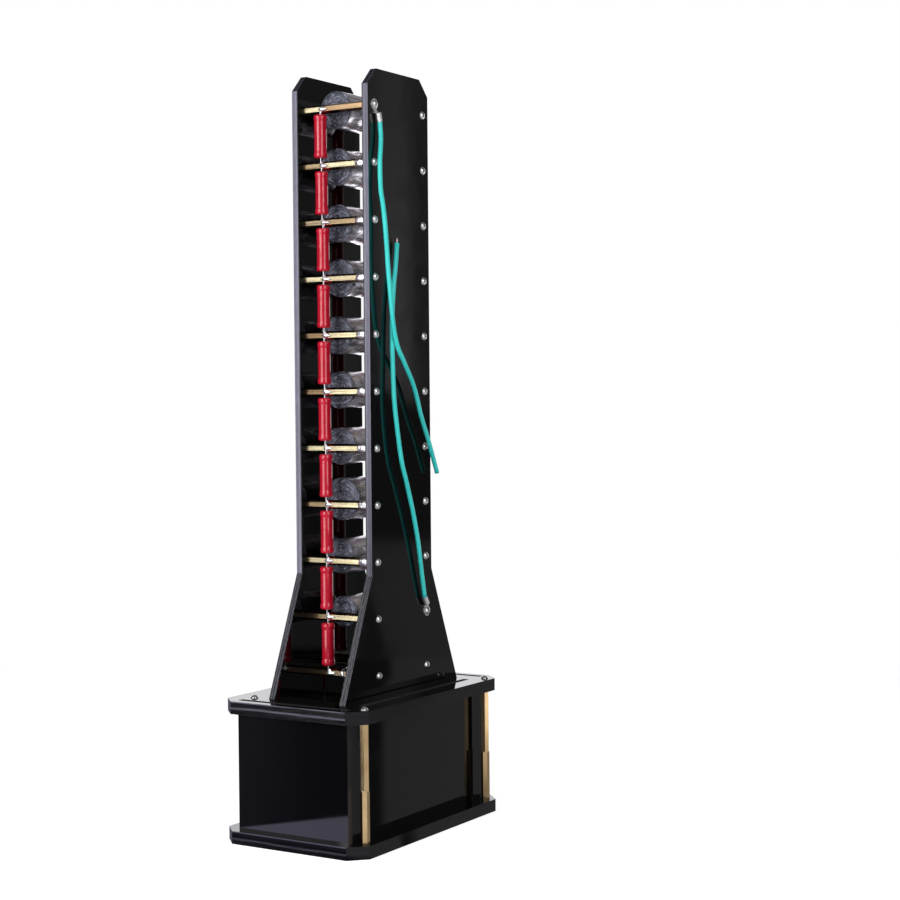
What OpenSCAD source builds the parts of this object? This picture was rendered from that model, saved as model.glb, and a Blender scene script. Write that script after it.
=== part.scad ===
// Ten-stage Marx generator for classroom spark demonstrations.
// Two black acrylic side panels stand on a box of black acrylic plates and carry two rows
// of brass cross rods. Capacitors join the front row to the rear row at each stage, red
// resistors join each rod to the next one below, and bent wires leave a spark gap between
// the rear rod of a stage and the front rod of the stage below it.
// Millimetres, +Z up, front of the tower towards -Y, terminal side towards +X.
// The origin is the middle of the base plate's underside.

/* [Base box] */
// Width of both base plates
base_w = 120; // [114:1:140]
// Length of both base plates, front to rear
base_l = 191; // [186:1:220]
// Thickness of each base plate
plate_t = 9; // [6:0.5:12]
// Size of the 45 degree cut at each plate corner
corner_cut = 11.5; // [6:0.5:12]
// Clear height between the two base plates
box_h = 82; // [70:1:100]
// Width of the front and rear walls
wall_w = 92.6; // [88:0.2:96]
// Thickness of the box walls
wall_t = 5; // [3:0.5:6]
// Distance from the end of a plate to the outside of the wall there
wall_setback = 5.7; // [4:0.1:6]
// Distance from the end of the side wall to its top tab
side_tab_inset = 15.5; // [12:0.5:24]
// Width of each lower wall tab
low_tab_w = 20; // [12:1:30]

/* [Base posts] */
// Size across the flats of the hexagonal brass posts
post_af = 5.5; // [5:0.1:6]
// Height of the lower post of each pair
post_low_h = 36; // [25:1:45]
// Gap between the side wall and the axis of a right-hand post
right_post_gap = 7.3; // [5:0.1:8]
// Distance from the end of a plate to the axis of a right-hand post
right_post_inset = 15.5; // [13:0.5:24]
// Distance from the end of the front wall back to the axis of a left-hand post
left_post_gap = 3.2; // [3.2:0.1:8]
// Distance from the end of a plate to the axis of a left-hand post
left_post_inset = 20.5; // [18:0.5:30]

/* [Tower] */
// Number of rod levels
levels = 11; // [4:1:11]
// Height from one level to the next
pitch = 40; // [38:0.5:44]
// Distance between the front and rear rod rows
row_gap = 62.5; // [60:0.5:70]
// Length of the cross rods, which is the gap between the panels
rod_len = 55; // [52:1:60]
// Size across the flats of the cross rods
rod_af = 5.5; // [5:0.1:6]
// Thickness of the side panels
panel_t = 5; // [4:0.5:6]
// Distance from a rod row to the nearest panel edge
panel_edge = 7.5; // [6:0.5:10]
// Height of the lowest rods above the top plate
foot_gap = 15; // [12:0.5:20]
// Height of the panels above the top rods
head_gap = 25.3; // [18:0.1:30]
// Depth of the cut at the panel's top corners, along the tower's depth
top_cut_y = 11; // [6:0.5:14]
// Height of the cut at the panel's top corners
top_cut_z = 11.5; // [6:0.5:14]
// Height of the flared foot of each panel
flare_h = 85.6; // [70:0.2:90]
// How far the foot flares out at the front and at the rear
flare_out = 34.5; // [25:0.5:36]
// Width of the tab under each panel
panel_tab = 110; // [80:1:120]
// Sideways place of the tower on the top plate
tower_x = 1.6; // [-2:0.1:2]
// Front to rear place of the tower on the top plate
tower_y = -1.2; // [-2:0.1:2]

/* [Stages] */
// Diameter of the capacitors
cap_d = 27; // [22:0.5:28]
// Gap between a rod's axis and the capacitor's end
cap_stand = 9; // [8:0.5:14]
// Sideways place of the capacitors and their leads
cap_x = -6; // [-8:0.5:-5]
// Height of the capacitor's axis above its rods
cap_lift = 1; // [0:0.5:2]
// Thickness of the tape wound round a capacitor
cap_wrap = 0.8; // [0.6:0.1:2]
// Diameter of the capacitor leads
cap_lead_d = 1; // [0.8:0.1:1.2]
// Length of a resistor's body
res_len = 30.6; // [26:0.2:31]
// Diameter of a resistor along its middle
res_d = 8.9; // [7:0.1:9]
// Diameter of a resistor at its end caps
res_cap_d = 9.6; // [9.2:0.1:10]
// Length of a resistor's end caps
res_cap_len = 4; // [3:0.5:6]
// Height of a resistor's middle above the middle of its two rods
res_rise = 0.6; // [-1:0.1:1]
// Sideways place of the resistors
res_x = -10.5; // [-11:0.5:-10]
// Diameter of the resistor leads
res_lead_d = 0.8; // [0.6:0.1:1]
// Sideways place of the spark gaps
gap_x = 20.5; // [18:0.5:22]
// Width of each spark gap
spark_gap = 9; // [4:0.5:14]
// Diameter of the spark gap wires
electrode_d = 1.5; // [1.2:0.1:2]
// Run of a spark gap wire out to its bend
electrode_run = 10; // [8:0.5:14]
// Width of a soldered joint along its rod
solder_w = 7; // [6:0.5:7]
// Thickness of the solder over the corners of a rod
solder_t = 0.6; // [0.5:0.1:0.7]
// Thickness of the solder between a rod and a lead laid against it
solder_film = 0.1; // [0.05:0.05:0.15]

/* [Fasteners] */
// Diameter of the screw threads
screw_d = 3; // [2.5:0.1:3]
// Diameter of the domed screw heads
head_d = 5.8; // [5:0.1:6.5]
// Height of the domed screw heads
head_h = 2; // [1.6:0.1:2.1]
// Depth of the threaded holes in rods and posts
thread_depth = 8; // [6.5:0.5:9]
// Length of screw thread inside a rod or post
thread_in = 7; // [4:0.5:7.5]
// Length of the stud that joins the two posts of a pair
stud_len = 6; // [4:0.5:6]
// Diameter of the flat screw heads under the base
flat_head_d = 6; // [5.5:0.1:6.5]
// Clearance round a screw in the plates and panels
screw_play = 0.2; // [0.1:0.05:0.4]
// Clearance round a tab in its slot
slot_play = 0.1; // [0.05:0.05:0.2]

/* [Output leads] */
// Diameter of the insulated output leads
lead_d = 3.3; // [2.8:0.1:3.4]
// Thickness of the ring lugs
lug_t = 0.8; // [0.6:0.1:1]
// Outer diameter of a ring lug's eye
lug_eye_d = 7.6; // [7:0.1:8]
// Distance from a ring lug's eye to the end of its barrel
lug_reach = 12.5; // [11:0.5:14]
// Length of a ring lug's barrel
lug_barrel = 6.2; // [5:0.1:6.5]
// Diameter of a ring lug's barrel
lug_barrel_d = 3.9; // [3.8:0.1:4.6]
// Turn of the upper lug away from straight down
upper_lug_turn = 15; // [0:1:40]
// Turn of the lower lug away from straight up
lower_lug_turn = 31; // [0:1:40]
// Length of bare wire at the free end of the lower lead
bare_tip = 4; // [2:0.5:6]

/* [Supply] */
// Width of the supply's case
supply_w = 44; // [40:1:50]
// Length of the supply's case
supply_l = 76; // [74:1:90]
// Height of the supply's case
supply_h = 30; // [24:1:36]
// Wall of the supply's case
supply_wall = 2; // [1.5:0.5:3]
// Sideways place of the two high voltage wires
feed_x = 2.5; // [0:0.5:4]
// Diameter of the insulation on the high voltage wires
feed_d = 2; // [1.8:0.1:2.6]
// Diameter of the bare ends of the high voltage wires
feed_core_d = 0.8; // [0.6:0.1:1]

/* [Hidden] */
$fn = 48;
eps = 0.01;

// Heights of the base and the levels.
box_top = plate_t + box_h;
deck_z = box_top + plate_t;
stages = levels - 1;
low_z = deck_z + foot_gap;
top_z = low_z + stages * pitch + head_gap;
function level_z(k) = low_z + (levels - k) * pitch;

// Places of the walls and posts.
wall_out = base_l / 2 - wall_setback;
wall_in = wall_out - wall_t;
side_out = wall_w / 2;
side_in = side_out - wall_t;
side_tab_l = 2 * (wall_in - side_tab_inset);
low_tab_at = 25;
side_low_tab_at = 50;
post_r = post_af / sqrt(3);
POSTS = [
    [side_out + right_post_gap, -base_l / 2 + right_post_inset],
    [side_out + right_post_gap, base_l / 2 - right_post_inset],
    [-side_out + left_post_gap, -base_l / 2 + left_post_inset],
    [-side_out + left_post_gap, base_l / 2 - left_post_inset]];

// Places of the tower's pieces.
front_y = tower_y - row_gap / 2;
rear_y = tower_y + row_gap / 2;
rod_r = rod_af / sqrt(3);
right_in = tower_x + rod_len / 2;
right_out = right_in + panel_t;
left_in = tower_x - rod_len / 2;
left_out = left_in - panel_t;
flat_y = rod_af / 2;
res_y = flat_y + solder_film + res_lead_d / 2;
feed_y = flat_y + solder_film + feed_core_d / 2;
solder_r = rod_r + solder_t;
head_recess = 0.9;
flat_head_h = (flat_head_d - screw_d) / 2;
potting_top = plate_t + supply_h - 1.5;
terminal_pitch = 5;
feed_bare = 5;
upper_lug_level = 1;
lower_lug_level = max(2, levels - 1);

// Ends of the two lug barrels, and the way that each barrel points.
lug_axis_x = right_out + lug_t + lug_barrel_d / 2;
function lug_way(turn) = [0, sin(turn), -cos(turn)];
upper_way = lug_way(upper_lug_turn);
lower_way = lug_way(180 + lower_lug_turn);
upper_start = [lug_axis_x, front_y, level_z(upper_lug_level)] + lug_reach * upper_way;
lower_start = [lug_axis_x, rear_y, level_z(lower_lug_level)] + lug_reach * lower_way;

// Route of each output lead, measured from the end of its lug.
UPPER_ROUTE = [[0, 0, 0], [0.6, 0.2, -12.4], [1.3, -2.2, -28.8], [2, -2.6, -47],
    [2.6, -0.6, -59], [3.4, 1, -76], [4.4, 2.4, -103], [4.8, 5, -125.4],
    [4.8, 8, -143.4], [4.6, 13.2, -156.6], [4.2, 21.6, -167], [3.8, 35.2, -185],
    [3.4, 45, -206], [3, 55.6, -224.6], [3, 66.6, -247.4]];
LOWER_ROUTE = [[0, 0, 0], [0.9, -5.6, 20.4], [1.6, -10.4, 39.5], [2.3, -18.2, 62.9],
    [2.7, -27.6, 86.1], [2.9, -33.4, 99.9], [2.7, -38.4, 122.7], [2.1, -41.2, 145.3],
    [1.3, -41.2, 167.9], [0.9, -41.2, 188.9], [0.7, -40, 207.9], [0.5, -37.6, 225.7],
    [0.3, -35.4, 234.9], [0.1, -33.3, 247.6], [0, -32.3, 254.2]];

// Hand-wound capacitors differ: [extra diameter, shift along X, lift], from the top down.
CAP_FIT = [[0.4, 0, -0.4], [0.5, -0.2, -0.8], [0.3, 0, -1], [0.7, 1.5, 0.2],
    [1, -1.2, -0.6], [0, 0.4, 0.6], [0.4, 0, 0.5], [4.6, 2.1, 2.5], [-0.8, -0.4, 1.6],
    [-4, 2.6, 2.1]];
// Shift along X of each hand-placed resistor, from the top down.
RES_SHIFT = [-0.4, 0.2, 0.9, 0.9, 0.9, 0.9, 1.4, 1.7, 1.1, 1.8];

// A smooth curve through route points, and a ring of eight points round each place on it.
lead_steps = 2;
lead_sides = 8;
function unit(v) = v / norm(v);
function curve(a, b, c, d, t) = b + 0.5 * t * (c - a
    + t * (2 * a - 5 * b + 4 * c - d + t * (3 * (b - c) + d - a)));
function along(P, i, t) = curve(P[max(i - 1, 0)], P[i], P[i + 1],
    P[min(i + 2, len(P) - 1)], t);
function smooth(P) = concat([for (i = [0:len(P) - 2]) for (j = [0:lead_steps - 1])
    along(P, i, j / lead_steps)], [P[len(P) - 1]]);
function ring(c, way, r) = let (u = unit(cross(way, [1, 0, 0])), v = cross(way, u))
    [for (i = [0:lead_sides - 1]) let (a = 360 * i / lead_sides)
        c + r * (cos(a) * u + sin(a) * v)];
function end_way(Q) = unit(Q[len(Q) - 1] - Q[len(Q) - 2]);
function way_at(Q, i, first) = i == 0 ? first
    : i == len(Q) - 1 ? end_way(Q) : unit(Q[i + 1] - Q[i - 1]);

// A round tube along a route, with flat ends.
module lead(route, start, first) {
    Q = smooth(route);
    n = lead_sides;
    m = len(Q);
    points = [for (i = [0:m - 1]) each ring(start + Q[i], way_at(Q, i, first), lead_d / 2)];
    sides = [for (i = [0:m - 2]) for (j = [0:n - 1]) let (k = (j + 1) % n)
        each [[i * n + j, i * n + k, (i + 1) * n + k],
            [i * n + j, (i + 1) * n + k, (i + 1) * n + j]]];
    low = [for (j = [1:n - 2]) [0, j + 1, j]];
    high = [for (j = [1:n - 2]) [(m - 1) * n, (m - 1) * n + j, (m - 1) * n + j + 1]];
    polyhedron(points, concat(sides, low, high));
}

// Shared shapes. A bar has a flat towards the front when it lies along X.
module hex_bar(af, h) {
    cylinder(h = h, d = af / cos(30), $fn = 6);
}

module along_x(x, y, z) {
    translate([x, y, z])
        rotate([0, 90, 0])
            children();
}

// A domed head with a cross recess. Its seat is at z = 0, its thread points down.
module dome_screw(grip) {
    round_r = (head_d * head_d / 4 + head_h * head_h) / (2 * head_h);
    difference() {
        intersection() {
            translate([0, 0, head_h - round_r])
                sphere(r = round_r);
            cylinder(h = head_h, d = head_d);
        }
        for (turn = [0, 90])
            rotate(turn)
                translate([-head_d / 4, -head_d / 14, head_h - head_recess])
                    cube([head_d / 2, head_d / 7, head_recess + 1]);
    }
    translate([0, 0, -grip])
        cylinder(h = grip + eps, d = screw_d);
}

// A row of shapes along the levels, at the front row or the rear row.
module at_rod(k, row_y) {
    translate([tower_x, row_y, level_z(k)])
        children();
}

module plate_outline() {
    x = base_w / 2;
    y = base_l / 2;
    c = corner_cut;
    polygon([[c - x, -y], [x - c, -y], [x, c - y], [x, y - c],
        [x - c, y], [c - x, y], [-x, y - c], [-x, c - y]]);
}

// A rectangle from its centre and size, widened all round by a clearance.
module slot(x, y, w, l, play) {
    translate([x - w / 2 - play, y - l / 2 - play])
        square([w + 2 * play, l + 2 * play]);
}

// Outlines in plan of the places where upright plates pass through a flat plate.
module top_slots(play) {
    for (side = [-1, 1])
        slot(0, side * (wall_in + wall_t / 2), wall_w, wall_t, play);
    slot(side_in + wall_t / 2, 0, wall_t, side_tab_l, play);
    for (x = [left_out + panel_t / 2, right_in + panel_t / 2])
        slot(x, tower_y, panel_t, panel_tab, play);
}

module low_slots(play) {
    for (side = [-1, 1], place = [-1, 1])
        slot(place * low_tab_at, side * (wall_in + wall_t / 2), low_tab_w, wall_t, play);
    for (place = [-1, 1])
        slot(side_in + wall_t / 2, place * side_low_tab_at, wall_t, low_tab_w, play);
}

module base_plate() {
    color([0.05, 0.05, 0.06])
        difference() {
            linear_extrude(plate_t)
                difference() {
                    plate_outline();
                    low_slots(slot_play);
                }
            for (p = POSTS)
                translate([p[0], p[1], -eps]) {
                    cylinder(h = plate_t + 1, d = screw_d + 2 * screw_play);
                    cylinder(h = flat_head_h + eps, d1 = flat_head_d + 2 * eps, d2 = screw_d);
                }
        }
}

module top_plate() {
    color([0.05, 0.05, 0.06])
        translate([0, 0, box_top])
            linear_extrude(plate_t)
                difference() {
                    plate_outline();
                    top_slots(slot_play);
                    for (p = POSTS)
                        translate(p)
                            circle(d = screw_d + 2 * screw_play);
                    for (side = [-1, 1])
                        translate([tower_x + feed_x, tower_y + side * (row_gap / 2 - feed_y)])
                            circle(d = feed_d + 2 * screw_play);
                }
}

// An upright wall: its sheet, then its tabs into the lower plate.
module end_wall(side) {
    color([0.05, 0.05, 0.06])
        translate([0, side * (wall_in + wall_t / 2) + wall_t / 2, 0])
            rotate([90, 0, 0])
                linear_extrude(wall_t)
                    union() {
                        translate([-side_out, plate_t])
                            square([wall_w, box_h + plate_t]);
                        for (place = [-1, 1])
                            translate([place * low_tab_at - low_tab_w / 2, 0])
                                square([low_tab_w, plate_t + eps]);
                    }
}

module front_wall() {
    end_wall(-1);
}

module rear_wall() {
    end_wall(1);
}

module side_wall() {
    color([0.05, 0.05, 0.06])
        translate([side_in, 0, 0])
            rotate([90, 0, 90])
                linear_extrude(wall_t)
                    union() {
                        translate([-wall_in, plate_t])
                            square([2 * wall_in, box_h]);
                        translate([-side_tab_l / 2, box_top - eps])
                            square([side_tab_l, plate_t + eps]);
                        for (place = [-1, 1])
                            translate([place * side_low_tab_at - low_tab_w / 2, 0])
                                square([low_tab_w, plate_t + eps]);
                    }
}

module lower_posts() {
    color([0.85, 0.68, 0.38])
        for (p = POSTS)
            translate([p[0], p[1], plate_t])
                difference() {
                    rotate(30)
                        hex_bar(post_af, post_low_h);
                    translate([0, 0, -1])
                        cylinder(h = thread_depth + 1, d = screw_d);
                    translate([0, 0, post_low_h - thread_depth])
                        cylinder(h = thread_depth + 1, d = screw_d);
                }
}

module upper_posts() {
    color([0.85, 0.68, 0.38])
        for (p = POSTS)
            translate([p[0], p[1], plate_t + post_low_h])
                difference() {
                    union() {
                        hex_bar(post_af, box_h - post_low_h);
                        translate([0, 0, -stud_len])
                            cylinder(h = stud_len + 1, d = screw_d);
                    }
                    translate([0, 0, box_h - post_low_h - thread_depth])
                        cylinder(h = thread_depth + 1, d = screw_d);
                }
}

module base_screws() {
    color([0.75, 0.75, 0.78])
        for (p = POSTS)
            translate([p[0], p[1], 0])
                difference() {
                    union() {
                        cylinder(h = flat_head_h, d1 = flat_head_d, d2 = screw_d);
                        cylinder(h = plate_t + thread_in, d = screw_d);
                    }
                    for (turn = [0, 90])
                        rotate(turn)
                            translate([-flat_head_d / 4, -flat_head_d / 14, -1])
                                cube([flat_head_d / 2, flat_head_d / 7, head_recess + 1]);
                }
}

module top_plate_screws() {
    color([0.8, 0.8, 0.82])
        for (p = POSTS)
            translate([p[0], p[1], deck_z])
                dome_screw(plate_t + thread_in);
}

// Outline of a side panel, seen from the terminal side.
module panel_outline() {
    f = front_y - panel_edge;
    r = rear_y + panel_edge;
    flare_z = deck_z + flare_h;
    tab = panel_tab / 2;
    polygon([[f - flare_out, deck_z], [f, flare_z], [f, top_z - top_cut_z],
        [f + top_cut_y, top_z], [r - top_cut_y, top_z], [r, top_z - top_cut_z],
        [r, flare_z], [r + flare_out, deck_z], [tower_y + tab, deck_z],
        [tower_y + tab, box_top], [tower_y - tab, box_top], [tower_y - tab, deck_z]]);
}

module side_panel(inner_x) {
    color([0.05, 0.05, 0.06])
        translate([inner_x, 0, 0])
            rotate([90, 0, 90])
                linear_extrude(panel_t)
                    difference() {
                        panel_outline();
                        for (k = [1:levels], y = [front_y, rear_y])
                            translate([y, level_z(k)])
                                circle(d = screw_d + 2 * screw_play);
                    }
}

module left_panel() {
    side_panel(left_out);
}

module right_panel() {
    side_panel(right_in);
}

// A cross rod with a threaded hole in each end.
module rod() {
    difference() {
        along_x(-rod_len / 2, 0, 0)
            hex_bar(rod_af, rod_len);
        for (side = [0, 1])
            mirror([side, 0, 0])
                along_x(rod_len / 2 - thread_depth, 0, 0)
                    cylinder(h = thread_depth + 1, d = screw_d);
    }
}

module rod_row(row_y) {
    color([0.85, 0.68, 0.38])
        for (k = [1:levels])
            at_rod(k, row_y)
                rod();
}

module front_rods() {
    rod_row(front_y);
}

module rear_rods() {
    rod_row(rear_y);
}

module left_panel_screws() {
    color([0.8, 0.8, 0.82])
        for (k = [1:levels], y = [front_y, rear_y])
            translate([left_out, y, level_z(k)])
                rotate([0, -90, 0])
                    dome_screw(panel_t + thread_in);
}

// The two screws that hold a ring lug sit further out by the lug's thickness.
function lifted(k, y) = (k == upper_lug_level && y == front_y)
    || (k == lower_lug_level && y == rear_y) ? lug_t : 0;

module right_panel_screws() {
    color([0.8, 0.8, 0.82])
        for (k = [1:levels], y = [front_y, rear_y])
            along_x(right_out + lifted(k, y), y, level_z(k))
                dome_screw(panel_t + thread_in);
}

// A wound capacitor: its roll, and the tape that stands a little past the roll's ends.
module capacitor(k) {
    fit = CAP_FIT[k - 1];
    if (k <= stages)
        color([0.62, 0.62, 0.66])
            translate([tower_x + cap_x + fit[1], front_y + cap_stand,
                level_z(k) + cap_lift + fit[2]])
                rotate([-90, 0, 0])
                    rotate_extrude()
                        capacitor_profile((cap_d + fit[0]) / 2, row_gap - 2 * cap_stand);
}

module capacitor_profile(r, h) {
    core = r - cap_wrap;
    polygon([[0, 0], [core, cap_wrap / 2], [core, 0], [r - cap_wrap / 2, 0], [r, cap_wrap / 2],
        [r, h - cap_wrap / 2], [r - cap_wrap / 2, h], [core, h], [core, h - cap_wrap / 2],
        [0, h]]);
}

module capacitor_leads() {
    color([0.8, 0.8, 0.82])
        for (k = [1:stages], side = [-1, 1])
            at_rod(k, tower_y + side * row_gap / 2)
                difference() {
                    translate([cap_x, 0, cap_lift])
                        rotate([side * 90, 0, 0])
                            cylinder(h = cap_stand, d = cap_lead_d);
                    along_x(-rod_len / 2, 0, 0)
                        hex_bar(rod_af, rod_len);
                }
}

// A resistor: a plain tube with a fuller rounded cap at each end.
module resistor(k, side) {
    if (k <= stages)
        color([0.72, 0.05, 0.12])
            at_rod(k, tower_y + side * row_gap / 2)
                translate([res_x + RES_SHIFT[k - 1], side * res_y,
                    res_rise - (pitch + res_len) / 2])
                    rotate_extrude()
                        resistor_profile(res_d / 2, res_cap_d / 2);
}

module resistor_profile(r, c) {
    b = 0.5;
    h = res_len;
    e = res_cap_len;
    polygon([[0, 0], [c - 3 * b, 0], [c - b, b], [c, 2 * b], [c, e - b], [r, e],
        [r, h - e], [c, h - e + b], [c, h - 2 * b], [c - b, h - b], [c - 3 * b, h], [0, h]]);
}

module resistor_leads() {
    above = (pitch - res_len) / 2 - res_rise;
    below = (pitch - res_len) / 2 + res_rise;
    color([0.8, 0.8, 0.82])
        for (k = [1:stages], side = [-1, 1])
            at_rod(k, tower_y + side * row_gap / 2)
                translate([res_x + RES_SHIFT[k - 1], side * res_y, 0]) {
                    translate([0, 0, -above])
                        cylinder(h = above, d = res_lead_d);
                    translate([0, 0, -pitch])
                        cylinder(h = below, d = res_lead_d);
                }
}

// A straight length of wire along +Z with a rounded end.
module wire_end(len) {
    r = electrode_d / 2;
    rotate_extrude()
        intersection() {
            square([r, len]);
            union() {
                square([r, len - r]);
                translate([0, len - r])
                    circle(r);
            }
        }
}

// One bent wire, from the flat of its rod to its tip, in the plane of the gap.
module electrode() {
    foot = flat_y + electrode_run;
    span = [row_gap - 2 * foot, pitch];
    rotate([90, 0, 90]) {
        translate([flat_y, 0])
            rotate([0, 90, 0])
                cylinder(h = electrode_run, d = electrode_d);
        translate([foot, 0]) {
            sphere(d = electrode_d * 1.04);
            rotate(atan2(span[1], span[0]))
                rotate([0, 90, 0])
                    wire_end((norm(span) - spark_gap) / 2);
        }
    }
}

// Each gap lies between a rear rod and the front rod one level lower.
module spark_electrodes() {
    color([0.8, 0.8, 0.82])
        for (k = [2:stages])
            at_rod(k, front_y)
                translate([gap_x, 0, 0]) {
                    electrode();
                    translate([0, row_gap, pitch])
                        rotate([180, 0, 0])
                            electrode();
                }
}

// A collar of solder round a rod, between two places along it.
module collar(from, to) {
    w = to - from;
    bevel = w / 6;
    along_x(from, 0, 0)
        rotate_extrude()
            polygon([[0, 0], [rod_r + 0.2, 0], [solder_r, bevel], [solder_r, w - bevel],
                [rod_r + 0.2, w], [0, w]]);
}

module solder_joints() {
    stage_at = (res_x + cap_x) / 2;
    half = solder_w / 2;
    color([0.85, 0.85, 0.87])
        for (k = [1:levels], side = [-1, 1])
            at_rod(k, tower_y + side * row_gap / 2)
                difference() {
                    union() {
                        collar(stage_at - half, k > stages ? stage_at + 1 : stage_at + half);
                        if (k > stages)
                            collar(feed_x - half / 2, feed_x + half / 2);
                        if (side < 0 ? k > 1 && k <= stages : k < stages)
                            collar(gap_x - half, gap_x + half);
                    }
                    along_x(-rod_len / 2, 0, 0)
                        hex_bar(rod_af, rod_len);
                    if (k < levels)
                        translate([res_x + RES_SHIFT[k - 1], side * res_y, -pitch / 2])
                            cylinder(h = pitch / 2, d = res_lead_d);
                    if (k > 1)
                        translate([res_x + RES_SHIFT[k - 2], side * res_y, 0])
                            cylinder(h = pitch / 2, d = res_lead_d);
                    translate([cap_x, 0, cap_lift])
                        rotate([side * 90, 0, 0])
                            cylinder(h = cap_stand, d = cap_lead_d);
                    translate([gap_x, 0, 0])
                        rotate([side * 90, 0, 0])
                            cylinder(h = cap_stand, d = electrode_d);
                    translate([feed_x, -side * feed_y, -pitch / 2])
                        cylinder(h = pitch, d = feed_core_d);
                }
}

// A ring lug with its eye at the origin, lying against z = 0, its barrel along +Y.
module ring_lug() {
    barrel_r = lug_barrel_d / 2;
    neck_w = lug_eye_d * 0.44;
    barrel_at = lug_reach - lug_barrel;
    difference() {
        union() {
            cylinder(h = lug_t, d = lug_eye_d);
            rotate([90, 0, 90])
                translate([0, 0, -neck_w / 2])
                    linear_extrude(neck_w)
                        polygon([[0, 0], [barrel_at - 0.6, 0], [barrel_at, barrel_r],
                            [barrel_at + 1, barrel_r], [barrel_at + 1, lug_t + barrel_r * 1.5],
                            [barrel_at - 0.2, lug_t + barrel_r], [barrel_at - 1, lug_t],
                            [0, lug_t]]);
            translate([0, lug_reach, lug_t + barrel_r])
                rotate([90, 0, 0])
                    cylinder(h = lug_barrel, r = barrel_r);
        }
        translate([0, 0, -1])
            cylinder(h = lug_t + 5, d = screw_d + screw_play);
    }
}

module placed_lug(turn, y, k) {
    color([0.8, 0.8, 0.82])
        translate([right_out, y, level_z(k)])
            rotate([turn, 0, 0])
                rotate([0, 90, 0])
                    rotate(-90)
                        ring_lug();
}

module upper_ring_lug() {
    placed_lug(upper_lug_turn, front_y, upper_lug_level);
}

module lower_ring_lug() {
    placed_lug(180 + lower_lug_turn, rear_y, lower_lug_level);
}

module upper_lead() {
    color([0.1, 0.75, 0.7])
        lead(UPPER_ROUTE, upper_start, upper_way);
}

module lower_lead() {
    color([0.1, 0.75, 0.7])
        lead(LOWER_ROUTE, lower_start, lower_way);
}

// The bare wire that shows at the free end of the lower lead.
module lead_strands() {
    Q = smooth(LOWER_ROUTE);
    way = end_way(Q);
    color([0.75, 0.45, 0.3])
        translate(lower_start + Q[len(Q) - 1])
            rotate([0, acos(way[2]), atan2(way[1], way[0])])
                cylinder(h = bare_tip, d1 = lead_d * 0.6, d2 = lead_d * 0.2);
}

module round_rect(w, l, r) {
    slot(0, 0, w, l - 2 * r, 0);
    slot(0, 0, w - 2 * r, l, 0);
    for (x = [-1, 1], y = [-1, 1])
        translate([x * (w / 2 - r), y * (l / 2 - r)])
            circle(r = r);
}

module at_supply(z) {
    translate([tower_x + feed_x, tower_y, z])
        children();
}

module supply_case() {
    color([0.1, 0.1, 0.11])
        at_supply(plate_t)
            difference() {
                linear_extrude(supply_h)
                    round_rect(supply_w, supply_l, 2 * supply_wall);
                translate([0, 0, supply_wall])
                    linear_extrude(supply_h)
                        round_rect(supply_w - 2 * supply_wall, supply_l - 2 * supply_wall,
                            supply_wall);
            }
}

module supply_potting() {
    color([0.12, 0.12, 0.13])
        at_supply(plate_t + supply_wall)
            linear_extrude(potting_top - plate_t - supply_wall)
                round_rect(supply_w - 2 * supply_wall, supply_l - 2 * supply_wall,
                    supply_wall);
}

// A two-way screw terminal on the potting, with its wire entries on the open side.
module supply_terminal() {
    way = terminal_pitch;
    color([0.1, 0.4, 0.2])
        at_supply(potting_top)
            translate([supply_wall + 1 - supply_w / 2, 0, 0])
                difference() {
                    translate([0, way, 0])
                        rotate([90, 0, 0])
                            linear_extrude(2 * way)
                                polygon([[0, 0], [0, 6], [1.6, 10], [6.4, 10], [8, 6.5], [8, 0]]);
                    for (side = [-0.5, 0.5])
                        translate([0, side * way, 0]) {
                            translate([4, 0, 5])
                                cylinder(h = 6, d = 3.4);
                            translate([-1, -1.4, 1])
                                cube([5, 2.8, 2.8]);
                        }
                }
}

module supply_wires() {
    color([0.75, 0.1, 0.08])
        for (side = [-1, 1])
            at_supply(potting_top)
                translate([0, side * (row_gap / 2 - feed_y), 0])
                    cylinder(h = low_z - feed_bare - potting_top, d = feed_d);
}

module supply_wire_ends() {
    color([0.8, 0.8, 0.82])
        for (side = [-1, 1])
            at_supply(low_z - feed_bare)
                translate([0, side * (row_gap / 2 - feed_y), 0])
                    cylinder(h = 2 * feed_bare - 1, d = feed_core_d);
}

base_plate();
top_plate();
front_wall();
rear_wall();
side_wall();
lower_posts();
upper_posts();
base_screws();
top_plate_screws();
left_panel();
right_panel();
front_rods();
rear_rods();
left_panel_screws();
right_panel_screws();
capacitor(1);  // capacitor_01
capacitor(2);  // capacitor_02
capacitor(3);  // capacitor_03
capacitor(4);  // capacitor_04
capacitor(5);  // capacitor_05
capacitor(6);  // capacitor_06
capacitor(7);  // capacitor_07
capacitor(8);  // capacitor_08
capacitor(9);  // capacitor_09
capacitor(10);  // capacitor_10
resistor(1, -1);  // front_resistor_01
resistor(2, -1);  // front_resistor_02
resistor(3, -1);  // front_resistor_03
resistor(4, -1);  // front_resistor_04
resistor(5, -1);  // front_resistor_05
resistor(6, -1);  // front_resistor_06
resistor(7, -1);  // front_resistor_07
resistor(8, -1);  // front_resistor_08
resistor(9, -1);  // front_resistor_09
resistor(10, -1);  // front_resistor_10
resistor(1, 1);  // rear_resistor_01
resistor(2, 1);  // rear_resistor_02
resistor(3, 1);  // rear_resistor_03
resistor(4, 1);  // rear_resistor_04
resistor(5, 1);  // rear_resistor_05
resistor(6, 1);  // rear_resistor_06
resistor(7, 1);  // rear_resistor_07
resistor(8, 1);  // rear_resistor_08
resistor(9, 1);  // rear_resistor_09
resistor(10, 1);  // rear_resistor_10
capacitor_leads();
resistor_leads();
spark_electrodes();
solder_joints();
upper_ring_lug();
lower_ring_lug();
upper_lead();
lower_lead();
lead_strands();
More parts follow.
